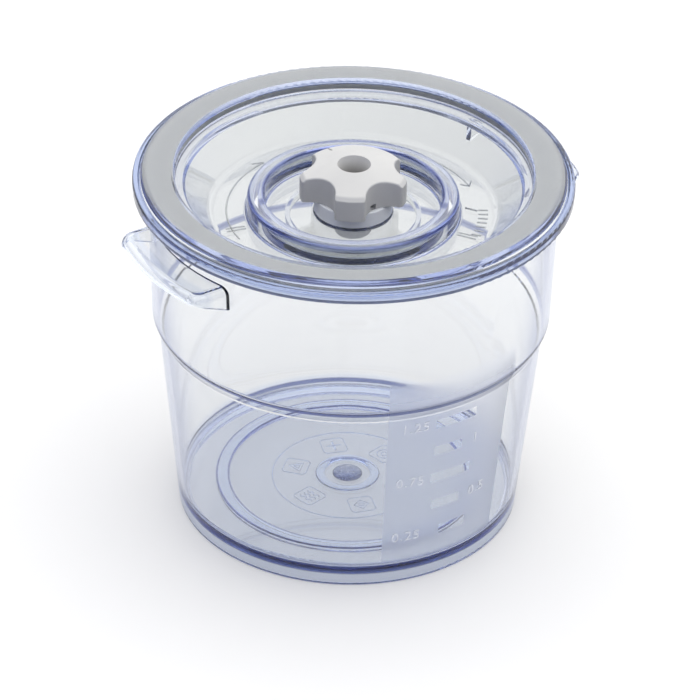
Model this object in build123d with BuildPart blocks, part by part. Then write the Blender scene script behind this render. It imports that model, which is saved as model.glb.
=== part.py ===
"""Clear vacuum food canister with a lift-off lid and a turning valve knob.

Units are millimetres and +Z is up. The origin is on the table, at the middle of the foot.
The two handles lie along X and the graduated side of the wall faces -Y. Angles are
degrees about Z, from +X towards +Y.
"""
from build123d import *
import os
from math import asin, cos, degrees, hypot, radians, sin

os.makedirs("parts", exist_ok=True)

overrun = 5.0              # how far a cutting tool passes a face
touch = 0.01               # how near counts as touching

# Canister: heights above the table
rim_height = 155.0
rim_depth = 4.8            # of the rim that stands out from the wall
seat_depth = 2.6           # of the seat for the lid's gasket, inside the rim's lip
lower_wall_height = 86.8
step_rise = 5.5
floor_height = 8.0

# Canister: a tapered wall in two stages, joined by a step, each width outside the one before
wall = 2.4                 # thickness of the moulded wall
lip_width = 2.6            # of the rim's lip, round the lid
rim_overhang = 6.0         # of the rim over the upper wall
upper_taper = 2.0          # how far the upper wall draws in, down to the step
step_width = 2.6
lower_taper = 8.6          # how far the lower wall draws in, down to the foot
step_round = 2.6
rim_round = 1.1
lip_round = 0.7
seat_round = 0.6

# Canister: floor and foot
floor_thickness = 2.6
floor_round = 3.8          # where the floor turns up into the wall
foot_width = 2.6
foot_round = 0.5
stacking_ridge_radius = 53.5
stacking_ridge_width = 4.6
stacking_ridge_depth = 0.8
gate_ring_radius = 13.0    # shallow disc under the middle of the floor
gate_ring_depth = 0.5

# Handles: two trays open underneath, one at each end of X
handle_depth = 14.2        # from the upper wall to the outer edge
handle_width = 60.0
handle_drop = 12.0         # from the rim's top down to the handle's
handle_thickness = 2.2
handle_round = 4.0         # from the top into the outer lip
handle_corner = 7.0        # seen from above
handle_end_depth = 10.4    # of the end walls, where they meet the canister
handle_lip_depth = 4.4     # of the outer lip

# Lid: widths, each outside the one before, from the raised ring out to the flange
ring_inner_radius = 37.1
ring_width = 6.5
dish_width = 15.6          # flat floor outside the ring
slope_width = 11.1
ledge_width = 3.5          # step between the slope and the well's wall
flange_width = 14.2
lid_clearance = 0.4        # between the lid and the rim's lip

# Lid: heights, and thickness of the moulding
lid_rise = 3.0             # of the flange's top over the rim
flange_thickness = 2.8
skirt_depth = 3.4          # from the top down to the outer edge
skirt_width = 1.4
well_depth = 4.8           # from the top down to the ledge
ledge_fall = 1.2
dish_depth = 19.5          # from the top down to the floor
lid_wall = 2.3
plug_wall = 1.2            # wall of the well, which plugs the canister's mouth
plug_depth = 9.4           # from the top down to its foot
plug_round = 2.0

# Lid: soft edges
edge_slant_width = 3.4     # the flange's outer edge falls away in a slant with rounded ends
edge_slant_drop = 1.8
edge_round = 7.5
edge_side_round = 2.4
well_edge_round = 1.2
ledge_round = 0.3
well_corner_round = 0.5
lid_floor_round = 4.0

# Lid: raised ring round the knob, hollow from below
ring_height = 8.7
ring_draft = 0.6
ring_outer_round = 2.2
ring_inner_round = 0.9
ring_foot_round = 1.2
ring_slot_width = 1.9

# Lid: collar under the floor, and the hub that carries the knob
collar_radius = 28.1
collar_depth = 3.0
collar_width = 1.8
hub_radius = 16.2
hub_wall = 2.0
hub_rise = 7.7             # of the hub's top over the lid's floor
hub_gap = 0.3              # between the hub's top and the knob
hub_floor_rise = 2.5       # of the hub's own floor over the lid's
hub_foot_round = 0.8
hub_edge_round = 0.5
port_radius = 1.3          # air ports through the hub's floor
port_circle = 9.5

# Gasket between the lid and the rim's seat
gasket_clearance = 0.1     # beside it
gasket_gap = 0.05          # over and under it
gasket_round = 0.5

# Knob
knob_radius = 22.4
knob_height = 10.8         # from its underside to the shoulder of the dome
crown_rise = 3.3           # from the shoulder up to the suction port
shoulder_width = 1.5       # from the shoulder out to the side
knob_edge_drop = 1.9       # the rounded shoulder, down to the side
scallop_edge_round = 0.7   # along the top of the finger scallops
knob_wall = 2.0
knob_roof = 3.0
scallop_radius = 10.4      # four finger scallops: a front pair and a shallower side pair
front_scallop_centre = 25.4
side_scallop_centre = 27.4
front_scallop_turn = 41.0  # each side of the middle of the four
side_scallop_turn = 103.0
scallops_turn = 144.0      # from the pointer to the middle of the four
scallop_round = 1.3
pointer_angle = 88.5       # direction of the pointer lobe in the photographed position
pointer_length = 5.2
pointer_width = 0.9
pointer_depth = 0.5
cone_radius = 6.9          # suction port at the top
cone_height = 10.2
bore_radius = 3.2

# Knob: stem, post, skirt and stop
stem_clearance = 0.06
stem_radius = 6.14
stem_reach = 3.8           # of the stem below the lid
post_radius = 8.4
skirt_radius = 13.6
skirt_inner_radius = 11.0
seal_gap = 0.3             # running gap under the turning seal
seal_thickness = 1.3
seal_bore_clearance = 0.16
stop_turn = 45.0           # each way from the photographed position
stop_angle = 193.7         # direction of the stop, a rib inside the hub
stop_width = 2.4
stop_rise = 3.6
stop_reach = 1.3           # how far the stop stands in from the hub's wall
stop_clearance = 0.4
vent_width = 3.0
vent_height = 2.6

# O-ring on the stem
oring_section = 1.4
oring_clearance = 0.05

# Cap under the lid: it holds the stem and houses the check valve
cap_gap = 0.3
cap_radius = 12.0
cap_flange = 2.4
cap_cup_radius = 7.6
cap_notch_count = 6
cap_notch_radius = 1.5
chamber_radius = 5.4
chamber_depth = 3.0
cap_floor = 1.8
valve_seat_radius = 2.4
valve_disc_radius = 4.6
valve_disc_thickness = 1.2
valve_pip_count = 3        # pips keep the lifted disc off the stem's end, so air passes
valve_pip_radius = 0.6
valve_pip_height = 0.5
cap_round = 0.5


def section(corners):
    """Half section of a turned piece, from its (radius, height, rounding) corners."""
    with BuildSketch(Plane.XZ) as half:
        with BuildLine():
            FilletPolyline(
                *[(radius, height) for radius, height, rounding in corners],
                radius=[rounding for radius, height, rounding in corners],
                close=True,
            )
        make_face()
    return half.sketch


def direction(angle):
    """Plane whose X axis points along an angle about Z."""
    return Plane.XY.rotated((0, 0, angle))


# Places that several pieces share: the lid, from its ring outwards
ring_outer_radius = ring_inner_radius + ring_width
lid_floor_radius = ring_outer_radius + dish_width
ledge_radius = lid_floor_radius + slope_width
well_radius = ledge_radius + ledge_width
plug_radius = well_radius + plug_wall
lid_radius = well_radius + flange_width
skirt_inner = lid_radius - skirt_width

# the canister, from its rim inwards
lip_inner_radius = lid_radius + lid_clearance
rim_radius = lip_inner_radius + lip_width
upper_wall_radius = rim_radius - rim_overhang
step_radius = upper_wall_radius - upper_taper
lower_wall_radius = step_radius - step_width
foot_radius = lower_wall_radius - lower_taper
floor_edge_radius = foot_radius + lower_taper * floor_height / lower_wall_height - wall
seat_inner_radius = upper_wall_radius - wall
handle_root = upper_wall_radius - wall / 2
handle_reach = upper_wall_radius + handle_depth

# heights of the canister
rim_underside = rim_height - rim_depth
seat_height = rim_height - seat_depth
step_top = lower_wall_height + step_rise
floor_underside = floor_height - floor_thickness
handle_top = rim_height - handle_drop

# heights of the lid
lid_top = rim_height + lid_rise
flange_underside = lid_top - flange_thickness
ledge_height = lid_top - well_depth
slope_top = ledge_height - ledge_fall
plug_foot = lid_top - plug_depth
lid_floor_height = lid_top - dish_depth
lid_underside = lid_floor_height - lid_wall
ring_top = lid_floor_height + ring_height
hub_floor_height = lid_floor_height + hub_floor_rise
hub_top = lid_floor_height + hub_rise
hub_inner_radius = hub_radius - hub_wall

# the knob and what it carries
knob_underside = hub_top + hub_gap
knob_shoulder = knob_underside + knob_height
knob_crown = knob_shoulder + crown_rise
knob_shoulder_radius = knob_radius - shoulder_width
bore_in_lid = stem_radius + stem_clearance
stem_end = lid_underside - stem_reach
oring_height = (lid_underside + hub_floor_height) / 2
seal_underside = hub_floor_height + seal_gap
seal_top = seal_underside + seal_thickness
stop_inner_radius = hub_inner_radius - stop_reach
notch_radius = stop_inner_radius - stop_clearance
seal_radius = notch_radius - seal_bore_clearance
knob_cavity_top = knob_shoulder - knob_roof
cone_foot = knob_crown - cone_height
scallops = [
    (centre, pointer_angle + scallops_turn + side * turn)
    for centre, turn in (
        (front_scallop_centre, front_scallop_turn),
        (side_scallop_centre, side_scallop_turn),
    )
    for side in (-1, 1)
]

cap_top = lid_underside - cap_gap
cap_flange_foot = cap_top - cap_flange
chamber_floor = stem_end - chamber_depth
cap_foot = chamber_floor - cap_floor


# One handle, on +X: a tray under a rounded top, with its end walls deepening towards the wall
def handle_outline(inset):
    """The handle seen from above, drawn in by an inset all round but at the canister."""
    with BuildSketch(Plane.XY.offset(handle_top)) as outline:
        Circle(handle_reach - inset)
        with Locations((handle_reach, 0)):
            Rectangle(2 * handle_reach, handle_width - 2 * inset, mode=Mode.INTERSECT)
        Circle(handle_root, mode=Mode.SUBTRACT)
        fillet(outline.vertices().group_by(Axis.X)[-1], handle_corner - inset)
    return outline.sketch


with BuildPart() as handle_block:
    extrude(handle_outline(0), amount=-handle_end_depth)
    top = handle_block.faces().sort_by(Axis.Z)[-1]
    outer_edges = [edge for edge in top.edges() if edge.center().X > handle_root]
    fillet(outer_edges, handle_round)

with BuildPart() as handle_hollow:
    extrude(handle_outline(handle_thickness), amount=-handle_end_depth - overrun)
    top = handle_hollow.faces().sort_by(Axis.Z)[-1]
    outer_edges = [edge for edge in top.edges() if edge.center().X > handle_root]
    fillet(outer_edges, handle_round - handle_thickness)

with BuildPart() as handle:
    add(handle_block.part)
    add(handle_hollow.part.moved(Location((0, 0, -handle_thickness))), mode=Mode.SUBTRACT)
    end_root = (upper_wall_radius ** 2 - (handle_width / 2) ** 2) ** 0.5
    end_reach = (handle_reach ** 2 - (handle_width / 2) ** 2) ** 0.5
    with BuildSketch(Plane.XZ):
        with BuildLine():
            Polyline(
                (end_root - overrun, handle_top - handle_end_depth),
                (end_root, handle_top - handle_end_depth),
                (end_reach, handle_top - handle_lip_depth),
                (handle_reach + overrun, handle_top - handle_lip_depth),
                (handle_reach + overrun, handle_top - handle_end_depth - overrun),
                (end_root - overrun, handle_top - handle_end_depth - overrun),
                close=True,
            )
        make_face()
    extrude(amount=handle_width, both=True, mode=Mode.SUBTRACT)


# Canister
with BuildPart() as canister_body:
    ridge_inner = stacking_ridge_radius - stacking_ridge_width / 2
    ridge_outer = stacking_ridge_radius + stacking_ridge_width / 2
    revolve(section([
        (0, floor_underside + gate_ring_depth, 0),
        (gate_ring_radius, floor_underside + gate_ring_depth, 0),
        (gate_ring_radius, floor_underside, 0),
        (ridge_inner, floor_underside, 0),
        (ridge_inner, floor_underside - stacking_ridge_depth, 0),
        (ridge_outer, floor_underside - stacking_ridge_depth, 0),
        (ridge_outer, floor_underside, 0),
        (foot_radius - foot_width, floor_underside, foot_width / 2),
        (foot_radius - foot_width, 0, foot_round),
        (foot_radius, 0, foot_round),
        (lower_wall_radius, lower_wall_height, step_round),
        (step_radius, step_top, step_round),
        (upper_wall_radius, rim_underside, rim_round),
        (rim_radius, rim_underside, rim_round),
        (rim_radius, rim_height, rim_round),
        (lip_inner_radius, rim_height, lip_round),
        (lip_inner_radius, seat_height, lip_round),
        (seat_inner_radius, seat_height, seat_round),
        (step_radius - wall, step_top, step_round),
        (lower_wall_radius - wall, lower_wall_height, step_round),
        (floor_edge_radius, floor_height, floor_round),
        (0, floor_height, 0),
    ]), axis=Axis.Z)
    add(handle.part)
    mirror(handle.part, about=Plane.YZ)
canister_body.part.label = "canister_body"


# Lid: one turned moulding, with its air ports and the stop for the knob
with BuildPart() as lid_shell:
    slope_rise = slope_top - lid_floor_height
    slope_length = hypot(slope_width, slope_rise)
    outward = lid_wall * slope_rise / slope_length
    downward = lid_wall * slope_width / slope_length
    run = slope_width / slope_rise
    under_slope_radius = ledge_radius + outward - (slope_top - downward - plug_foot) * run
    under_floor_radius = lid_floor_radius + outward - (lid_wall - downward) * run
    slot_middle = (ring_outer_radius + ring_inner_radius) / 2
    revolve(section([
        (bore_in_lid, lid_underside, 0),
        (bore_in_lid, hub_floor_height, 0),
        (hub_inner_radius, hub_floor_height, 0),
        (hub_inner_radius, hub_top, hub_edge_round),
        (hub_radius, hub_top, hub_edge_round),
        (hub_radius, lid_floor_height, hub_foot_round),
        (ring_inner_radius - ring_draft, lid_floor_height, ring_foot_round),
        (ring_inner_radius, ring_top, ring_inner_round),
        (ring_outer_radius, ring_top, ring_outer_round),
        (ring_outer_radius + ring_draft, lid_floor_height, ring_foot_round),
        (lid_floor_radius, lid_floor_height, lid_floor_round),
        (ledge_radius, slope_top, ledge_round),
        (well_radius, ledge_height, well_corner_round),
        (well_radius, lid_top, well_edge_round),
        (lid_radius - edge_slant_width, lid_top, edge_round),
        (lid_radius, lid_top - edge_slant_drop, edge_side_round),
        (lid_radius, lid_top - skirt_depth, 0),
        (skirt_inner, lid_top - skirt_depth, 0),
        (skirt_inner, flange_underside, 0),
        (plug_radius, flange_underside, 0),
        (plug_radius, plug_foot, plug_round),
        (under_slope_radius, plug_foot, ledge_round),
        (under_floor_radius, lid_underside, lid_floor_round),
        (slot_middle + ring_slot_width / 2, lid_underside, 0),
        (slot_middle + ring_slot_width / 2, ring_top - lid_wall, 0),
        (slot_middle - ring_slot_width / 2, ring_top - lid_wall, 0),
        (slot_middle - ring_slot_width / 2, lid_underside, 0),
        (collar_radius, lid_underside, 0),
        (collar_radius, lid_underside - collar_depth, 0),
        (collar_radius - collar_width, lid_underside - collar_depth, 0),
        (collar_radius - collar_width, lid_underside, 0),
    ]), axis=Axis.Z)
    with BuildSketch(Plane.XY.offset(lid_underside - overrun)):
        with PolarLocations(port_circle, 2, start_angle=pointer_angle):
            Circle(port_radius)
    extrude(amount=hub_floor_height - lid_underside + 2 * overrun, mode=Mode.SUBTRACT)
    stop_length = stop_reach + hub_wall / 2
    with BuildSketch(direction(stop_angle).offset(hub_floor_height)):
        with Locations((stop_inner_radius + stop_length / 2, 0)):
            Rectangle(stop_length, stop_width)
    extrude(amount=stop_rise)
lid_shell.part.label = "lid_shell"


# Gasket: a flat ring under the lid's flange, pressed on the rim's seat
with BuildPart() as lid_gasket:
    gasket_inner = plug_radius + gasket_clearance
    gasket_outer = skirt_inner - gasket_clearance
    revolve(section([
        (gasket_inner, flange_underside - gasket_gap, 0),
        (gasket_inner, seat_height + gasket_gap, gasket_round),
        (gasket_outer, seat_height + gasket_gap, gasket_round),
        (gasket_outer, flange_underside - gasket_gap, 0),
    ]), axis=Axis.Z)
lid_gasket.part.label = "lid_gasket"


def scalloped_disc(inset, height):
    """The knob seen from above, with its finger scallops, drawn in by an inset all round."""
    with BuildSketch(Plane.XY.offset(height)) as disc:
        Circle(knob_radius - inset)
        for centre, angle in scallops:
            with Locations((centre * cos(radians(angle)), centre * sin(radians(angle)))):
                Circle(scallop_radius + inset, mode=Mode.SUBTRACT)
        if not inset:
            fillet(disc.vertices(), scallop_round)
    return disc.sketch


def on_scallop(edge):
    """Whether the middle of an edge lies on the side of a finger scallop, at the top of the knob."""
    middle = edge.position_at(0.5)
    for centre, angle in scallops:
        across = middle.X - centre * cos(radians(angle))
        along = middle.Y - centre * sin(radians(angle))
        if abs(hypot(across, along) - scallop_radius) < touch and edge.length > knob_edge_drop:
            return middle.Z > knob_shoulder - knob_edge_drop
    return False


# Knob: a scalloped dome over hollow lobes, with a post, a skirt and a tubular stem
with BuildPart() as control_knob:
    extrude(scalloped_disc(0, knob_underside), amount=knob_crown - knob_underside + overrun)
    with BuildSketch(Plane.XZ):
        with BuildLine():
            FilletPolyline(
                (0, knob_underside - overrun),
                (knob_radius + overrun, knob_underside - overrun),
                (knob_radius + overrun, knob_shoulder - knob_edge_drop - overrun),
                (knob_shoulder_radius, knob_shoulder),
                (cone_radius, knob_crown),
                (0, knob_crown),
                radius=[0, 0, 0, knob_edge_drop, 0, 0],
                close=True,
            )
        make_face()
    revolve(axis=Axis.Z, mode=Mode.INTERSECT)
    fillet([edge for edge in control_knob.edges() if on_scallop(edge)], scallop_edge_round)
    extrude(
        scalloped_disc(knob_wall, knob_underside - overrun),
        amount=knob_cavity_top - knob_underside + overrun,
        mode=Mode.SUBTRACT,
    )
    revolve(section([
        (0, seal_top, 0),
        (post_radius, seal_top, 0),
        (post_radius, knob_cavity_top, 0),
        (0, knob_cavity_top, 0),
    ]), axis=Axis.Z)
    revolve(section([
        (skirt_inner_radius, seal_top, 0),
        (skirt_radius, seal_top, 0),
        (skirt_radius, knob_cavity_top, 0),
        (skirt_inner_radius, knob_cavity_top, 0),
    ]), axis=Axis.Z)
    with BuildSketch(Plane.XY.offset(stem_end)):
        Circle(stem_radius)
    extrude(amount=knob_cavity_top - stem_end)
    # suction port: a cone that a hose tip wedges into, and the bore below it
    with BuildSketch(Plane.XZ):
        with BuildLine():
            Polyline(
                (0, stem_end - overrun),
                (bore_radius, stem_end - overrun),
                (bore_radius, cone_foot),
                (cone_radius, knob_crown),
                (cone_radius, knob_crown + overrun),
                (0, knob_crown + overrun),
                close=True,
            )
        make_face()
    revolve(axis=Axis.Z, mode=Mode.SUBTRACT)
    # groove for the O-ring
    groove_radius = stem_radius - oring_section
    with BuildSketch(Plane.XZ):
        with Locations((groove_radius + overrun / 2, oring_height)):
            Rectangle(overrun, oring_section + 2 * oring_clearance)
    revolve(axis=Axis.Z, mode=Mode.SUBTRACT)
    # the notch that the stop runs in
    notch_half_angle = stop_turn + degrees(asin((stop_width / 2 + stop_clearance) / stop_inner_radius))
    with BuildSketch(direction(stop_angle).offset(seal_top)):
        with BuildLine():
            CenterArc((0, 0), notch_radius, -notch_half_angle, 2 * notch_half_angle)
            CenterArc((0, 0), skirt_radius + stop_clearance, -notch_half_angle, 2 * notch_half_angle)
            for side in (-notch_half_angle, notch_half_angle):
                Line(
                    (notch_radius * cos(radians(side)), notch_radius * sin(radians(side))),
                    ((skirt_radius + stop_clearance) * cos(radians(side)),
                     (skirt_radius + stop_clearance) * sin(radians(side))),
                )
        make_face()
    extrude(amount=hub_floor_height + stop_rise + stop_clearance - seal_top, mode=Mode.SUBTRACT)
    # air vents through the skirt, into the hollow lobes
    with BuildSketch(direction(pointer_angle).offset(knob_underside)):
        Rectangle(2 * (skirt_radius + overrun / 2), vent_width)
        Circle(post_radius, mode=Mode.SUBTRACT)
    extrude(amount=vent_height, mode=Mode.SUBTRACT)
    # pointer line on the top of one lobe
    with BuildSketch(direction(pointer_angle).offset(knob_shoulder - pointer_depth)):
        with Locations((knob_radius - pointer_length / 2, 0)):
            Rectangle(pointer_length, pointer_width)
    extrude(amount=overrun, mode=Mode.SUBTRACT)
control_knob.part.label = "control_knob"


# Seal: a silicone washer under the knob that turns over the hub's ports
with BuildPart() as valve_seal:
    with BuildSketch(Plane.XY.offset(seal_underside)):
        Circle(seal_radius)
        Circle(stem_radius + seal_bore_clearance, mode=Mode.SUBTRACT)
        with PolarLocations(port_circle, 2, start_angle=pointer_angle + stop_turn):
            Circle(port_radius, mode=Mode.SUBTRACT)
    extrude(amount=seal_thickness)
valve_seal.part.label = "valve_seal"


# O-ring in the stem's groove
with BuildPart() as stem_o_ring:
    with BuildSketch(Plane.XZ):
        with Locations((bore_in_lid - oring_clearance - oring_section / 2, oring_height)):
            Circle(oring_section / 2)
    revolve(axis=Axis.Z)
stem_o_ring.part.label = "stem_o_ring"


# Cap under the lid
with BuildPart() as retaining_cap:
    revolve(section([
        (stem_radius, cap_top, 0),
        (cap_radius, cap_top, cap_round),
        (cap_radius, cap_flange_foot, cap_round),
        (cap_cup_radius, cap_flange_foot, cap_round),
        (cap_cup_radius, cap_foot, cap_round),
        (valve_seat_radius, cap_foot, 0),
        (valve_seat_radius, chamber_floor, 0),
        (chamber_radius, chamber_floor, 0),
        (chamber_radius, stem_end, 0),
        (stem_radius, stem_end, 0),
    ]), axis=Axis.Z)
    with BuildSketch(Plane.XY.offset(cap_flange_foot - overrun)):
        with PolarLocations(cap_radius, cap_notch_count):
            Circle(cap_notch_radius)
    extrude(amount=cap_flange + 2 * overrun, mode=Mode.SUBTRACT)
retaining_cap.part.label = "retaining_cap"


# Loose disc of the check valve, resting on its seat
with BuildPart() as check_valve_disc:
    with BuildSketch(Plane.XY.offset(chamber_floor)):
        Circle(valve_disc_radius)
    extrude(amount=valve_disc_thickness)
    with BuildSketch(Plane.XY.offset(chamber_floor + valve_disc_thickness)):
        with PolarLocations((bore_radius + valve_disc_radius) / 2, valve_pip_count):
            Circle(valve_pip_radius)
    extrude(amount=valve_pip_height)
check_valve_disc.part.label = "check_valve_disc"


pieces = [canister_body, lid_shell, lid_gasket, control_knob, valve_seal, stem_o_ring, retaining_cap,
          check_valve_disc]
for piece in pieces:
    export_step(piece.part, f"parts/{piece.part.label}.step")
    print(piece.part.label, "volume", round(piece.part.volume), "solids", len(piece.part.solids()))
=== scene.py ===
"""Dresses the clear vacuum food canister and lights it as in its photograph.

Units are metres and +Z is up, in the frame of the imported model: the origin is on the table at the
middle of the foot, the handles lie along X and the graduated side of the wall faces -Y.
"""
from math import cos, pi, radians, sin

import bmesh
import bpy
from mathutils import Matrix, Vector


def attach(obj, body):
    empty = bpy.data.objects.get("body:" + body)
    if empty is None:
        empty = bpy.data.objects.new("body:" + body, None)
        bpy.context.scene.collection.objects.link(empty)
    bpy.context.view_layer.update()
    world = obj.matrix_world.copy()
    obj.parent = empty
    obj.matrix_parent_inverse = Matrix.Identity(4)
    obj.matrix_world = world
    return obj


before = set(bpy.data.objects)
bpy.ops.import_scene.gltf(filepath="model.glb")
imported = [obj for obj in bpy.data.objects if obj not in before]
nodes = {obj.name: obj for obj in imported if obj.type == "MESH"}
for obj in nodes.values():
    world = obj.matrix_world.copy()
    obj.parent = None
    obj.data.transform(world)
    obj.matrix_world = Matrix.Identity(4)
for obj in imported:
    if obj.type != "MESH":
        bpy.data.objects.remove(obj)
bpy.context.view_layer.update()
scene = bpy.context.scene
scene.view_settings.view_transform = "Standard"

MM = 0.001
WHITE = (1, 1, 1, 1)

# Shapes that are added to the solids
ROUND_POINTS = 160
SMOOTH_ANGLE = 35
RIDGE_SIDES = 8
RIDGE_SMOOTH_ANGLE = 60
# The camera's azimuth and a quarter turn, in degrees
AZIMUTH_TURN = 124

# Camera, as fitted to the ellipses of the photograph
CAMERA_AZIMUTH = radians(-34)
CAMERA_ELEVATION = radians(33.214)
CAMERA_ROLL = radians(1.261)
CAMERA_DISTANCE = 2.0508
CAMERA_SHIFT_RIGHT = -0.0016
CAMERA_SHIFT_UP = -0.0715
CAMERA_TARGET = Vector((0, 0, 0.155))
SENSOR_WIDTH = 36
LENS = 257.14


def make_camera():
    """Places the camera by its azimuth, elevation and roll round the rim's centre."""
    sideways = Vector((cos(CAMERA_AZIMUTH), sin(CAMERA_AZIMUTH), 0))
    back = Vector((
        sin(CAMERA_AZIMUTH) * cos(CAMERA_ELEVATION),
        -cos(CAMERA_AZIMUTH) * cos(CAMERA_ELEVATION),
        sin(CAMERA_ELEVATION),
    ))
    upright = back.cross(sideways)
    right = cos(CAMERA_ROLL) * sideways + sin(CAMERA_ROLL) * upright
    up = cos(CAMERA_ROLL) * upright - sin(CAMERA_ROLL) * sideways
    place = (CAMERA_TARGET + back * CAMERA_DISTANCE
             + right * CAMERA_SHIFT_RIGHT + up * CAMERA_SHIFT_UP)
    data = bpy.data.cameras.new("camera")
    data.sensor_width = SENSOR_WIDTH
    data.lens = LENS
    camera = bpy.data.objects.new("camera", data)
    turn = Matrix((right, up, back)).transposed().to_4x4()
    camera.matrix_world = Matrix.Translation(place) @ turn
    scene.collection.objects.link(camera)
    scene.camera = camera


# Light: a soft studio, bright overhead and behind on the right, dark round the horizon
WORLD_DARK = (0.16, 0.19, 0.36, 1)
WORLD_BRIGHT = (1.62, 1.62, 1.62, 1)
LIGHT_FROM = Vector((0.35, 0.20, 0.90)).normalized()
RAMP_START = 0.0
RAMP_END = 0.75
FLOOR_SIZE = 5.0
FLOOR_COLOUR = (0.91, 0.903, 0.885, 1)
FLOOR_HEIGHT = -0.1 * MM
FLOOR_LIFT = 0.15
FLOOR_LIFT_THROUGH_PLASTIC = 0.42
FILL_PLACE = Vector((-1.25, -1.0, 1.05))
FILL_SIZE = 1.2
FILL_POWER = 3.0
LIGHT_BOUNCES = 40


def node(tree, kind, **values):
    """A shader node with some of its properties set."""
    made = tree.nodes.new(kind)
    for name, value in values.items():
        setattr(made, name, value)
    return made


def feed(tree, socket, value):
    """Links a socket to another, or sets its number or colour."""
    if isinstance(value, bpy.types.NodeSocket):
        tree.links.new(value, socket)
    else:
        socket.default_value = value


def compute(tree, operation, *inputs):
    """The output of a math node."""
    made = node(tree, "ShaderNodeMath", operation=operation)
    for socket, value in zip(made.inputs, inputs):
        feed(tree, socket, value)
    return made.outputs[0]


def spread(tree, value, low, high, start, end, smooth=False):
    """Maps a value from one range to another."""
    kind = "SMOOTHSTEP" if smooth else "LINEAR"
    made = node(tree, "ShaderNodeMapRange", interpolation_type=kind)
    feed(tree, made.inputs["Value"], value)
    made.inputs["From Min"].default_value = low
    made.inputs["From Max"].default_value = high
    made.inputs["To Min"].default_value = start
    made.inputs["To Max"].default_value = end
    return made.outputs["Result"]


def blend(tree, share, start, end):
    """A colour between two others."""
    mix = node(tree, "ShaderNodeMix", data_type="RGBA")
    feed(tree, mix.inputs["Factor"], share)
    feed(tree, mix.inputs["A"], start)
    feed(tree, mix.inputs["B"], end)
    return mix.outputs["Result"]


def mix_shaders(tree, share, start, end):
    """A shader between two others."""
    mix = node(tree, "ShaderNodeMixShader")
    tree.links.new(share, mix.inputs["Fac"])
    tree.links.new(start.outputs[0], mix.inputs[1])
    tree.links.new(end.outputs[0], mix.inputs[2])
    return mix.outputs[0]


def new_material(name):
    """A material with its node tree and its shader."""
    material = bpy.data.materials.new(name)
    material.use_nodes = True
    tree = material.node_tree
    return material, tree, tree.nodes["Principled BSDF"]


def make_world():
    """White to the camera; to everything else a soft studio with a dark horizon."""
    world = bpy.data.worlds.new("studio")
    scene.world = world
    world.use_nodes = True
    tree = world.node_tree
    tree.nodes.clear()
    direction = node(tree, "ShaderNodeTexCoord")
    dot = node(tree, "ShaderNodeVectorMath", operation="DOT_PRODUCT")
    tree.links.new(direction.outputs["Generated"], dot.inputs[0])
    dot.inputs[1].default_value = LIGHT_FROM
    level = spread(tree, dot.outputs["Value"], RAMP_START, RAMP_END, 0.0, 1.0, smooth=True)
    studio = node(tree, "ShaderNodeBackground")
    tree.links.new(blend(tree, level, WORLD_DARK, WORLD_BRIGHT), studio.inputs["Color"])
    white = node(tree, "ShaderNodeBackground")
    white.inputs["Color"].default_value = WHITE
    seen = node(tree, "ShaderNodeLightPath").outputs["Is Camera Ray"]
    output = node(tree, "ShaderNodeOutputWorld")
    tree.links.new(mix_shaders(tree, seen, studio, white), output.inputs["Surface"])


def make_floor():
    """A white floor that keeps the shadow, and glows a little where it is seen."""
    material = bpy.data.materials.new("floor")
    material.use_nodes = True
    tree = material.node_tree
    tree.nodes.clear()
    diffuse = node(tree, "ShaderNodeBsdfDiffuse")
    diffuse.inputs["Color"].default_value = FLOOR_COLOUR
    path = node(tree, "ShaderNodeLightPath")
    seen = compute(tree, "MAXIMUM", path.outputs["Is Camera Ray"], path.outputs["Is Glossy Ray"])
    lift = compute(tree, "MULTIPLY", seen, FLOOR_LIFT)
    through = path.outputs["Is Transmission Ray"]
    through = compute(tree, "MULTIPLY", through, FLOOR_LIFT_THROUGH_PLASTIC)
    glow = node(tree, "ShaderNodeEmission")
    both = mix_shaders(tree, compute(tree, "MAXIMUM", lift, through), diffuse, glow)
    output = node(tree, "ShaderNodeOutputMaterial")
    tree.links.new(both, output.inputs["Surface"])
    mesh = bpy.data.meshes.new("floor")
    half = FLOOR_SIZE / 2
    sides = ((-half, -half), (half, -half), (half, half), (-half, half))
    corners = [(x, y, FLOOR_HEIGHT) for x, y in sides]
    mesh.from_pydata(corners, [], [(0, 1, 2, 3)])
    mesh.materials.append(material)
    floor = bpy.data.objects.new("floor", mesh)
    scene.collection.objects.link(floor)


def make_fill():
    """A large weak lamp at the front left, so that shaded sides aren't too dark."""
    lamp = bpy.data.lights.new("fill", "AREA")
    lamp.size = FILL_SIZE
    lamp.energy = FILL_POWER
    fill = bpy.data.objects.new("fill", lamp)
    fill.location = FILL_PLACE
    aim = CAMERA_TARGET - FILL_PLACE
    fill.rotation_euler = aim.to_track_quat("-Z", "Y").to_euler()
    scene.collection.objects.link(fill)


# Wall of the canister below its step, and the graduations on the side that faces -Y
FOOT_RADIUS = 71.8 * MM
LOWER_WALL_RADIUS = 80.4 * MM
LOWER_WALL_HEIGHT = 86.8 * MM
WALL = 2.4 * MM
FLOOR_TOP = 8.0 * MM
FLOOR_UNDERSIDE = 5.4 * MM
FROST_LEFT = radians(-22.4)
FROST_RIGHT = radians(20.6)
FROST_LOW = 11 * MM
FROST_FADE = 90 * MM
FROST_HIGH = 112 * MM
MARK_HEIGHT = 4.6 * MM
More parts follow.
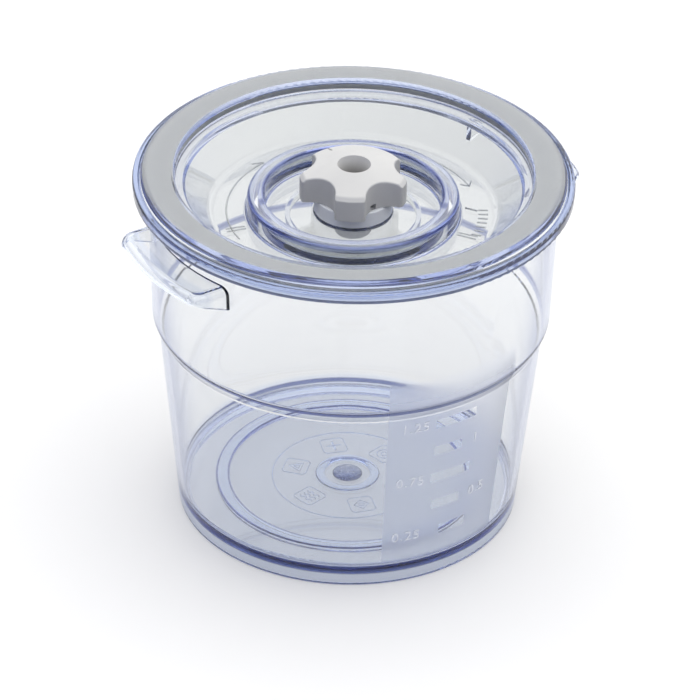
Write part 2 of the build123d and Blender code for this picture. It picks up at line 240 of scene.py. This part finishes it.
# Each graduation: its number and its height in millimetres, then in degrees round the wall the
# left and right ends of its polished mark and the middle of its number
GRADUATIONS = (
    ("1.25", 81.0, -7.3, 6.8, -13.9),
    ("1", 66.8, -7.2, 2.4, 7.6),
    ("0.75", 52.6, -7.7, 6.7, -14.4),
    ("0.5", 38.2, -6.7, 3.5, 10.6),
    ("0.25", 23.8, -3.0, 7.0, -14.6),
)
NUMBER_SIZE = 6.6 * MM
NUMBER_PROUD = 0.22 * MM
NUMBER_SUNK = 0.12 * MM
NUMBER_SPACING = 1.12
WELD_DISTANCE = 0.001 * MM

# Clear plastic
PLASTIC_IOR = 1.57
BODY_TINT = (0.30, 0.40, 0.68, 1)
BODY_DENSITY = 36
LID_TINT = (0.32, 0.42, 0.74, 1)
LID_DENSITY = 60
BODY_COLOUR = (0.985, 0.985, 0.965, 1)
LID_COLOUR = (0.79, 0.795, 0.755, 1)
# Painted shade: the base is darker and bluer, for the shadow under the canister; full up to the
# first height, gone at the second
BASE_SHADE_COLOUR = (0.85, 0.90, 1.0, 1)
FROST_COLOUR = (0.93, 0.95, 1.0, 1)
BASE_SHADE_FULL = 9 * MM
BASE_SHADE_END = 13 * MM
FROST_ROUGHNESS = 0.33
# Painted shade: darker blue where the plastic is seen at a grazing angle, for long paths through it
GRAZING_SHADE_COLOUR = (0.27, 0.33, 0.54, 1)
GRAZING_SHADE_START = 0.55
# Painted shade: deeper blue where light runs along inside the plastic, and a painted highlight on
# the lid's ring. Low end, high end and softness in millimetres, by height or by radius, and the
# colour
STEP_SHADE_BAND = (90.5, 92.6, 0.4, (0.14, 0.18, 0.42, 1))
FOOT_SHADE_BAND = (5.8, 8.9, 0.5, (0.02, 0.035, 0.18, 1))
HEEL_SHADE_BAND = (-1.0, 0.9, 0.2, (0.10, 0.13, 0.34, 1))
FOOT_BAND_RADIUS = 71.0 * MM
BASE_RING_SHADE_BANDS = (
    (50.2, 51.1, 0.2, (0.26, 0.32, 0.66, 1)),
    (55.3, 56.2, 0.2, (0.26, 0.32, 0.66, 1)),
)
BASE_RING_LOW = 7 * MM
BASE_RING_HIGH = 10 * MM
# Painted shade on the outside of the canister's rim
RIM_SHADE_BAND = (149.6, 156.0, 0.4, (0.46, 0.54, 0.76, 1))
# Faint painted shade on the handles
HANDLE_SHADE_BAND = (91.6, 110.0, 0.4, (0.89, 0.915, 0.94, 1))
# The lid's ring: painted dark blue lines at its sides and a painted white highlight on its top
RING_BANDS = (
    (36.5, 38.0, 0.3, (0.30, 0.34, 0.62, 1)),
    (38.7, 41.8, 0.4, WHITE),
    (42.6, 44.4, 0.3, (0.30, 0.36, 0.64, 1)),
)
RING_BANDS_FOOT = 144.6 * MM
# The hub under the knob is milky, with a satin skin
HUB_RADIUS = 17.0 * MM
HUB_FOOT = 139.6 * MM
HUB_COLOUR = (0.96, 0.98, 1.0, 1)
HUB_ROUGHNESS = 0.3
HUB_MILK = 0.85
# The knob's mouth, darker down in its cone
MOUTH_RADIUS = 7.3 * MM
MOUTH_LOW = 152.5 * MM
MOUTH_HIGH = 160.6 * MM
MOUTH_SHADE = (0.22, 0.215, 0.21, 1)

# Skin of the clear plastic: faint flow waves
WAVE_SCALE = 14
WAVE_DETAIL = 1.0
WAVE_STRENGTH = 0.05
WAVE_DEPTH = 0.4 * MM
# Skins of the others. The scales are of noise, and noise lies mostly within its range.
NOISE_DETAIL = 3.0
NOISE_RANGE = (0.3, 0.7)
GRAIN_DETAIL = 2.0
SILICONE_LOOK = {
    "colour": (0.98, 0.97, 0.95, 1),
    "darker": (0.95, 0.94, 0.925, 1),
    "roughness": (0.44, 0.56),
    "grain_scale": 900,
}
KNOB_LOOK = {
    "colour": (0.58, 0.575, 0.555, 1),
    "darker": (0.555, 0.55, 0.535, 1),
    "roughness": (0.36, 0.48),
    "grain_scale": 1400,
}
CAP_LOOK = {
    "colour": (0.95, 0.95, 0.94, 1),
    "darker": (0.92, 0.92, 0.91, 1),
    "roughness": (0.34, 0.46),
    "grain_scale": 1400,
}
NUMBER_LOOK = {
    "colour": (0.97, 0.98, 1.0, 1),
    "darker": (0.93, 0.95, 1.0, 1),
    "mottle_scale": 300,
    "roughness": (0.3, 0.5),
    "roughness_scale": 900,
    "grain_scale": 1500,
    "grain_strength": 0.2,
    "grain_depth": 0.03 * MM,
    "clearness": 0.3,
}
GATE_LOOK = {
    "colour": (0.66, 0.71, 0.88, 1),
    "darker": (0.42, 0.49, 0.74, 1),
    "mottle_scale": 500,
    "mottle_range": (0.35, 0.65),
    "roughness": (0.15, 0.3),
    "roughness_scale": 700,
    "grain_scale": 800,
    "grain_strength": 0.6,
    "grain_depth": 0.2 * MM,
    "clearness": 0.9,
}


def place_parts(tree):
    """The x, y and z of a point in the object's own space."""
    place = node(tree, "ShaderNodeTexCoord")
    split = node(tree, "ShaderNodeSeparateXYZ")
    tree.links.new(place.outputs["Object"], split.inputs[0])
    return split.outputs


def within(tree, value, low, high):
    """1 where a value lies between two others."""
    return compute(tree, "COMPARE", value, (low + high) / 2, (high - low) / 2)


def from_axis(tree):
    """The distance of a point from the canister's axis."""
    across, along, _ = place_parts(tree)
    across = compute(tree, "POWER", across, 2.0)
    along = compute(tree, "POWER", along, 2.0)
    return compute(tree, "SQRT", compute(tree, "ADD", across, along))


def multiply(tree, first, *others):
    """The product of some values."""
    for other in others:
        first = compute(tree, "MULTIPLY", first, other)
    return first


def add_band(tree, colour, value, band, share=1.0):
    """Mixes a band's colour into another where a value lies in the band."""
    low, high, soft, tint = band
    rise = spread(tree, value, (low - soft) * MM, (low + soft) * MM, 0.0, 1.0, smooth=True)
    fall = spread(tree, value, (high - soft) * MM, (high + soft) * MM, 1.0, 0.0, smooth=True)
    return blend(tree, multiply(tree, rise, fall, share), colour, tint)


def frosted_share(tree):
    """1 on the frosted panel of the outer wall, 0 elsewhere and in its polished marks."""
    across, along, height = place_parts(tree)
    angle = compute(tree, "ARCTAN2", across, compute(tree, "MULTIPLY", along, -1.0))
    slope = (LOWER_WALL_RADIUS - FOOT_RADIUS) / LOWER_WALL_HEIGHT
    wall_middle = compute(tree, "MULTIPLY_ADD", height, slope, FOOT_RADIUS - WALL / 2)
    share = multiply(
        tree,
        compute(tree, "GREATER_THAN", from_axis(tree), wall_middle),
        within(tree, angle, FROST_LEFT, FROST_RIGHT),
        within(tree, height, FROST_LOW, FROST_HIGH),
        spread(tree, height, FROST_FADE, FROST_HIGH, 1.0, 0.0, smooth=True),
    )
    for _, middle, left, right, _ in GRADUATIONS:
        low, high = middle * MM - MARK_HEIGHT / 2, middle * MM + MARK_HEIGHT / 2
        mark = compute(tree, "MULTIPLY", within(tree, height, low, high),
                       within(tree, angle, radians(left), radians(right)))
        share = compute(tree, "MULTIPLY", share, compute(tree, "SUBTRACT", 1.0, mark))
    return share


def noise(tree, scale, detail=NOISE_DETAIL):
    """Noise in the object's own space."""
    place = node(tree, "ShaderNodeTexCoord")
    made = node(tree, "ShaderNodeTexNoise")
    tree.links.new(place.outputs["Object"], made.inputs["Vector"])
    made.inputs["Scale"].default_value = scale
    made.inputs["Detail"].default_value = detail
    return made.outputs["Fac"]


def add_bump(tree, shader, height, strength, distance):
    """Feeds a height into the shader's normal."""
    bump = node(tree, "ShaderNodeBump")
    tree.links.new(height, bump.inputs["Height"])
    bump.inputs["Strength"].default_value = strength
    bump.inputs["Distance"].default_value = distance
    tree.links.new(bump.outputs[0], shader.inputs["Normal"])


def body_look(tree, shader):
    """Feeds the roughness of the canister to its shader. The result is its colour, with painted
    shade on the base and in dark blue bands.
    """
    height = place_parts(tree)[2]
    radius = from_axis(tree)
    frost = frosted_share(tree)
    tree.links.new(compute(tree, "MULTIPLY", frost, FROST_ROUGHNESS), shader.inputs["Roughness"])
    # Painted shade on the base, for the shadow under the canister
    base = spread(tree, height, BASE_SHADE_FULL, BASE_SHADE_END, 1.0, 0.0, smooth=True)
    colour = blend(tree, base, BODY_COLOUR, BASE_SHADE_COLOUR)
    colour = blend(tree, frost, colour, FROST_COLOUR)
    outside = compute(tree, "GREATER_THAN", radius, FOOT_BAND_RADIUS)
    # Painted shade in dark blue bands: by height outside the foot, by radius on the handles and on
    # the ring of the base
    for band in (HEEL_SHADE_BAND, FOOT_SHADE_BAND, STEP_SHADE_BAND, RIM_SHADE_BAND):
        colour = add_band(tree, colour, height, band, outside)
    colour = add_band(tree, colour, radius, HANDLE_SHADE_BAND)
    low = within(tree, height, BASE_RING_LOW, BASE_RING_HIGH)
    for band in BASE_RING_SHADE_BANDS:
        colour = add_band(tree, colour, radius, band, low)
    return colour


def lid_look(tree, shader):
    """Feeds the lid's roughness and clearness to its shader. The result is its colour, with painted
    dark lines and a painted white highlight on its ring.
    """
    height = place_parts(tree)[2]
    radius = from_axis(tree)
    hub = compute(tree, "MULTIPLY", compute(tree, "LESS_THAN", radius, HUB_RADIUS),
                  compute(tree, "GREATER_THAN", height, HUB_FOOT))
    tree.links.new(compute(tree, "MULTIPLY", hub, HUB_ROUGHNESS), shader.inputs["Roughness"])
    clearness = spread(tree, hub, 0.0, 1.0, 1.0, 1 - HUB_MILK)
    tree.links.new(clearness, shader.inputs["Transmission Weight"])
    colour = blend(tree, hub, LID_COLOUR, HUB_COLOUR)
    # Painted dark lines and a painted white highlight on the raised ring
    raised = compute(tree, "GREATER_THAN", height, RING_BANDS_FOOT)
    for band in RING_BANDS:
        colour = add_band(tree, colour, radius, band, raised)
    return colour


def clear_plastic(name, look, tint, density):
    """Glossy clear plastic with faint flow waves, painted a darker blue where it is seen at a
    grazing angle: painted shade for long paths through it.
    """
    material, tree, shader = new_material(name)
    shader.inputs["Transmission Weight"].default_value = 1.0
    shader.inputs["IOR"].default_value = PLASTIC_IOR
    colour = look(tree, shader)
    # Painted shade at grazing angles
    facing = node(tree, "ShaderNodeLayerWeight").outputs["Facing"]
    grazing_shade = spread(tree, facing, GRAZING_SHADE_START, 1.0, 0.0, 1.0, smooth=True)
    tree.links.new(blend(tree, grazing_shade, colour, GRAZING_SHADE_COLOUR), shader.inputs["Base Color"])
    waves = noise(tree, WAVE_SCALE, WAVE_DETAIL)
    add_bump(tree, shader, waves, WAVE_STRENGTH, WAVE_DEPTH)
    volume = node(tree, "ShaderNodeVolumeAbsorption")
    volume.inputs["Color"].default_value = tint
    volume.inputs["Density"].default_value = density
    tree.links.new(volume.outputs[0], tree.nodes["Material Output"].inputs["Volume"])
    return material


def grained_plastic(name, colour, darker, roughness, grain_scale, grain_strength=0.25,
                    grain_depth=0.05 * MM, mottle_scale=90, mottle_range=NOISE_RANGE,
                    roughness_scale=400, clearness=0.0):
    """Plastic or silicone of slightly uneven colour and roughness, with a fine grain."""
    material, tree, shader = new_material(name)
    mottle = spread(tree, noise(tree, mottle_scale), *mottle_range, 0.0, 1.0)
    tree.links.new(blend(tree, mottle, darker, colour), shader.inputs["Base Color"])
    if clearness:
        shader.inputs["Transmission Weight"].default_value = clearness
        shader.inputs["IOR"].default_value = PLASTIC_IOR
    uneven = spread(tree, noise(tree, roughness_scale), *NOISE_RANGE, *roughness)
    tree.links.new(uneven, shader.inputs["Roughness"])
    grain = noise(tree, grain_scale, GRAIN_DETAIL)
    add_bump(tree, shader, grain, grain_strength, grain_depth)
    return material


def shade_mouth(material):
    """Darkens the knob's plastic down in its mouth, where little light comes."""
    tree = material.node_tree
    shader = tree.nodes["Principled BSDF"]
    inside = compute(tree, "LESS_THAN", from_axis(tree), MOUTH_RADIUS)
    depth = spread(tree, place_parts(tree)[2], MOUTH_LOW, MOUTH_HIGH, 1.0, 0.0, smooth=True)
    shade = compute(tree, "MULTIPLY", inside, depth)
    colour = shader.inputs["Base Color"].links[0].from_socket
    tree.links.new(blend(tree, shade, colour, MOUTH_SHADE), shader.inputs["Base Color"])
    return material


def dress(name, material):
    """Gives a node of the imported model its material."""
    for slot in nodes[name].material_slots:
        slot.material = material
    if not nodes[name].material_slots:
        nodes[name].data.materials.append(material)


def finish_piece(mesh, name, body, slot, material, smooth_angle=SMOOTH_ANGLE):
    """Makes a piece of a mesh and hangs it on its body."""
    for face in mesh.polygons:
        face.use_smooth = True
    mesh.set_sharp_from_angle(angle=radians(smooth_angle))
    mesh.materials.append(material)
    piece = bpy.data.objects.new(name, mesh)
    scene.collection.objects.link(piece)
    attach(piece, body)
    return piece


def mesh_piece(mesh, name, *rest):
    """Makes a piece of a mesh that is still being edited."""
    bmesh.ops.recalc_face_normals(mesh, faces=mesh.faces)
    data = bpy.data.meshes.new(name)
    mesh.to_mesh(data)
    mesh.free()
    return finish_piece(data, name, *rest)


def circle(radius, middle=(0, 0), count=ROUND_POINTS):
    """Points round a circle, in millimetres."""
    x, y = middle
    return [(x + radius * cos(2 * pi * i / count), y + radius * sin(2 * pi * i / count))
            for i in range(count)]


def polar(radius, azimuth):
    """A point by its radius and the azimuth at which the camera sees it, in millimetres."""
    angle = radians(azimuth - AZIMUTH_TURN)
    return radius * cos(angle), radius * sin(angle)


def arc(radius, start, end, count):
    """Points along an arc between two camera azimuths."""
    return [polar(radius, start + (end - start) * i / count) for i in range(count + 1)]


def add_stroke(mesh, points, closed, width, height, level):
    """A ridge of half-round section along points in a level plane, sunk to its middle."""
    rings = []
    count = len(points)
    for i, (x, y) in enumerate(points):
        before = points[i - 1] if closed or i else points[i]
        after = points[(i + 1) % count] if closed or i < count - 1 else points[i]
        along = Vector((after[0] - before[0], after[1] - before[1], 0)).normalized()
        across = Vector((-along.y, along.x, 0))
        middle = Vector((x, y, level))
        ring = []
        for k in range(RIDGE_SIDES):
            angle = 2 * pi * k / RIDGE_SIDES
            aside = across * (width / 2 * cos(angle)) + Vector((0, 0, height * sin(angle)))
            ring.append(mesh.verts.new((middle + aside) * MM))
        rings.append(ring)
    for i in range(count if closed else count - 1):
        one, other = rings[i], rings[(i + 1) % count]
        for k in range(RIDGE_SIDES):
            following = (k + 1) % RIDGE_SIDES
            mesh.faces.new((one[k], one[following], other[following], other[k]))
    if not closed:
        mesh.faces.new(rings[0])
        mesh.faces.new(rings[-1])


def marks(name, strokes, body, slot, material):
    """One piece of several ridges: points, whether they close, width, height and level."""
    mesh = bmesh.new()
    for stroke in strokes:
        add_stroke(mesh, *stroke)
    return mesh_piece(mesh, name, body, slot, material, RIDGE_SMOOTH_ANGLE)


def turned(name, section, body, slot, material):
    """A ring or disc turned from a closed section of (radius, height) in millimetres."""
    mesh = bmesh.new()
    rings = []
    for radius, height in section:
        if radius == 0:
            rings.append([mesh.verts.new((0, 0, height * MM))] * ROUND_POINTS)
        else:
            rings.append([mesh.verts.new((x * MM, y * MM, height * MM))
                          for x, y in circle(radius)])
    for i, one in enumerate(rings):
        other = rings[(i + 1) % len(rings)]
        if one[0] is one[1] and other[0] is other[1]:
            continue
        for k in range(ROUND_POINTS):
            following = (k + 1) % ROUND_POINTS
            corners = []
            for vertex in (one[k], one[following], other[following], other[k]):
                if vertex not in corners:
                    corners.append(vertex)
            mesh.faces.new(corners)
    return mesh_piece(mesh, name, body, slot, material)


def make_numbers(material):
    """The raised numbers beside the marks, bent round the wall."""
    joined = bmesh.new()
    for text, height, _, _, middle in GRADUATIONS:
        font = bpy.data.curves.new("number", "FONT")
        font.body = text
        font.size = NUMBER_SIZE
        font.space_character = NUMBER_SPACING
        font.align_x = "CENTER"
        font.align_y = "CENTER"
        font.extrude = (NUMBER_PROUD + NUMBER_SUNK) / 2
        letters = bpy.data.objects.new("number", font)
        scene.collection.objects.link(letters)
        bpy.context.view_layer.update()
        graph = bpy.context.evaluated_depsgraph_get()
        mesh = bpy.data.meshes.new_from_object(letters.evaluated_get(graph))
        for vertex in mesh.vertices:
            x, y, z = vertex.co
            level = height * MM + y
            growth = (LOWER_WALL_RADIUS - FOOT_RADIUS) * level / LOWER_WALL_HEIGHT
            wall = FOOT_RADIUS + growth
            angle = radians(middle) + x / wall
            radius = wall + z + (NUMBER_PROUD - NUMBER_SUNK) / 2
            vertex.co = (radius * sin(angle), -radius * cos(angle), level)
        joined.from_mesh(mesh)
        bpy.data.objects.remove(letters)
        bpy.data.curves.remove(font)
        bpy.data.meshes.remove(mesh)
    bmesh.ops.remove_doubles(joined, verts=joined.verts, dist=WELD_DISTANCE)
    return mesh_piece(joined, "graduation_numbers", "canister", "clear_body", material)


# Marks moulded in the dish of the lid, in millimetres and in degrees of camera azimuth
LID_FLOOR = 138.5
MARK_RIDGE = 0.35
LINE_WIDTH = 0.7
ARROW_RADIUS = 52.3
# Each turning arrow: azimuths of its ends, points, and its head's corners by radius and azimuth
ARROWS = (
    (-62, -133, 40, ((55.0, -129), (52.3, -133.6), (49.2, -130))),
    (147, 114.2, 24, ((54.8, 117.2), (52.3, 113.4), (49.4, 116.4))),
)
# Each double tick: azimuth, inner and outer radius
TICKS = ((-70.6, 46.7, 54.7), (68.7, 46.2, 54.4))
TICK_APART = 1.1
DOTS = 5
DOT_RADIUS = 0.38
DOT_LINE_WIDTH = 0.35
DOT_POINTS = 12
FIRST_DOT = (46.7, 94)
DOT_LEAN = 0.6
BARS = 7
BAR_WIDTH = 0.9
BAR_RADII = (51.6, 55.6)
FIRST_BAR_AZIMUTH = 71
BAR_PITCH = 3.5


def make_lid_marks(material):
    """Two turning arrows, two double ticks, a row of dots and a row of bars, as thin ridges."""
    strokes = []

    def line(*points, closed=False, width=LINE_WIDTH):
        strokes.append((list(points), closed, width, MARK_RIDGE, LID_FLOOR))

    for start, end, count, head in ARROWS:
        line(*arc(ARROW_RADIUS, start, end, count))
        line(*[polar(*corner) for corner in head])
    for azimuth, inner, outer in TICKS:
        for side in (-TICK_APART, TICK_APART):
            line(polar(inner, azimuth + side), polar(outer, azimuth + side))
    for step in range(DOTS):
        radius, azimuth = FIRST_DOT
        middle = polar(radius + step, azimuth - DOT_LEAN * step)
        line(*circle(DOT_RADIUS, middle, DOT_POINTS), closed=True, width=DOT_LINE_WIDTH)
    for step in range(BARS):
        azimuth = FIRST_BAR_AZIMUTH + BAR_PITCH * step
        line(*[polar(radius, azimuth) for radius in BAR_RADII], width=BAR_WIDTH)
    return marks("lid_marks", strokes, "lid", "clear_lid", material)


# Marks moulded in the base, in millimetres
BASE_CIRCLE = 32.0
BASE_CIRCLE_WIDTH = 0.6
BASE_CIRCLE_RIDGE = 0.3
MOTIF_RADIUS = 22.6
MOTIF_TURN = 12
MOTIF_RIDGE = 0.28
MOTIF_WIDTH = 0.5
CROSS_WIDTH = 0.8
FRAME_HALF = 5.2
FRAME_CUT = 1.2
# Half of a motif's width, and the sizes inside it
REACH = 3.2
INNER_CIRCLE = 1.4
TRIANGLE = ((-REACH, -2.4), (REACH, -2.4), (0, REACH))
SMALL_TRIANGLE = ((-1.4, -1.3), (1.4, -1.3), (0, 1.1))
RIPPLES = (-2.2, 0, 2.2)
RIPPLE_POINTS = 17
RIPPLE_STEP = 0.4
RIPPLE_RISE = 0.7
DIAMOND = ((-REACH, 0), (0, REACH), (REACH, 0), (0, -REACH))
DIAMOND_CIRCLE = 1.1
HEXAGON = 3.3
SMALL_HEXAGON = 1.6
# Turned sections: radius, and height over the floor's top
BASE_STEP_SECTION = (
    (50.6, -0.3), (50.6, 0.2), (50.9, 0.4), (51.3, 0.45),
    (55.2, 0.45), (55.6, 0.4), (55.9, 0.2), (55.9, -0.3),
)
GATE_RING_SECTION = (
    (9.6, -0.3), (9.6, 0.05), (10.2, 0.3), (11.2, 0.45), (12.4, 0.4), (13.3, 0.2), (13.6, -0.3),
)
GATE_DOME_SECTION = (
    (0, -0.3), (0, 1.5), (2.0, 1.4), (4.0, 1.1), (5.4, 0.6), (6.2, 0), (6.3, -0.3),
)


def frame_corners():
    """The corners of a motif's frame, a square with its own corners cut."""
    half, short = FRAME_HALF, FRAME_HALF - FRAME_CUT
    return ((-half, -short), (-half, short), (-short, half), (short, half),
            (half, short), (half, -short), (short, -half), (-short, -half))


def ripple(level):
    """A waved line across a motif."""
    return [(-REACH + RIPPLE_STEP * i, level + RIPPLE_RISE * sin(i * pi / 4))
            for i in range(RIPPLE_POINTS)]


def motifs():
    """The lines of the six motifs: points, whether they close, and width."""
    return (
        ((circle(REACH, count=24), True, MOTIF_WIDTH),
         (circle(INNER_CIRCLE, count=16), True, MOTIF_WIDTH)),
        ((((-REACH, 0), (REACH, 0)), False, CROSS_WIDTH),
         (((0, -REACH), (0, REACH)), False, CROSS_WIDTH)),
        ((TRIANGLE, True, MOTIF_WIDTH), (SMALL_TRIANGLE, True, MOTIF_WIDTH)),
        tuple((ripple(level), False, MOTIF_WIDTH) for level in RIPPLES),
        ((DIAMOND, True, MOTIF_WIDTH), (circle(DIAMOND_CIRCLE, count=14), True, MOTIF_WIDTH)),
        ((circle(HEXAGON, count=6), True, MOTIF_WIDTH),
         (circle(SMALL_HEXAGON, count=6), True, MOTIF_WIDTH)),
    )


def make_base(material, gate_material):
    """Rings, gate mark and six plain motifs in frames, moulded in the base."""
    level = FLOOR_UNDERSIDE / MM
    top = FLOOR_TOP / MM
    strokes = [(circle(BASE_CIRCLE), True, BASE_CIRCLE_WIDTH, BASE_CIRCLE_RIDGE, level)]
    for step, motif in enumerate(motifs()):
        turn = radians(60 * step + MOTIF_TURN)
        out = Vector((cos(turn), sin(turn)))
        side = Vector((-sin(turn), cos(turn)))
        for points, closed, width in ((frame_corners(), True, MOTIF_WIDTH), *motif):
            placed = [tuple(out * (MOTIF_RADIUS + y) + side * x) for x, y in points]
            strokes.append((placed, closed, width, MOTIF_RIDGE, level))
    marks("base_motifs", strokes, "canister", "clear_body", material)
    for name, section, plastic in (
            ("base_step_ring", BASE_STEP_SECTION, material),
            ("gate_ring", GATE_RING_SECTION, material),
            ("gate_dome", GATE_DOME_SECTION, gate_material)):
        raised = [(radius, top + rise) for radius, rise in section]
        turned(name, raised, "canister", "clear_body", plastic)


make_camera()
make_world()
make_floor()
make_fill()
scene.cycles.max_bounces = LIGHT_BOUNCES
scene.cycles.transmission_bounces = LIGHT_BOUNCES
scene.cycles.glossy_bounces = LIGHT_BOUNCES

body_plastic = clear_plastic("body_plastic", body_look, BODY_TINT, BODY_DENSITY)
lid_plastic = clear_plastic("lid_plastic", lid_look, LID_TINT, LID_DENSITY)
grey_silicone = grained_plastic("grey_silicone", **SILICONE_LOOK)
dress("canister_body", body_plastic)
dress("lid_shell", lid_plastic)
dress("lid_gasket", grey_silicone)
dress("control_knob", shade_mouth(grained_plastic("knob_plastic", **KNOB_LOOK)))
dress("retaining_cap", grained_plastic("cap_plastic", **CAP_LOOK))
for name in ("valve_seal", "stem_o_ring", "check_valve_disc"):
    dress(name, grey_silicone)
make_numbers(grained_plastic("number_plastic", **NUMBER_LOOK))
make_lid_marks(lid_plastic)
make_base(body_plastic, grained_plastic("gate_plastic", **GATE_LOOK))
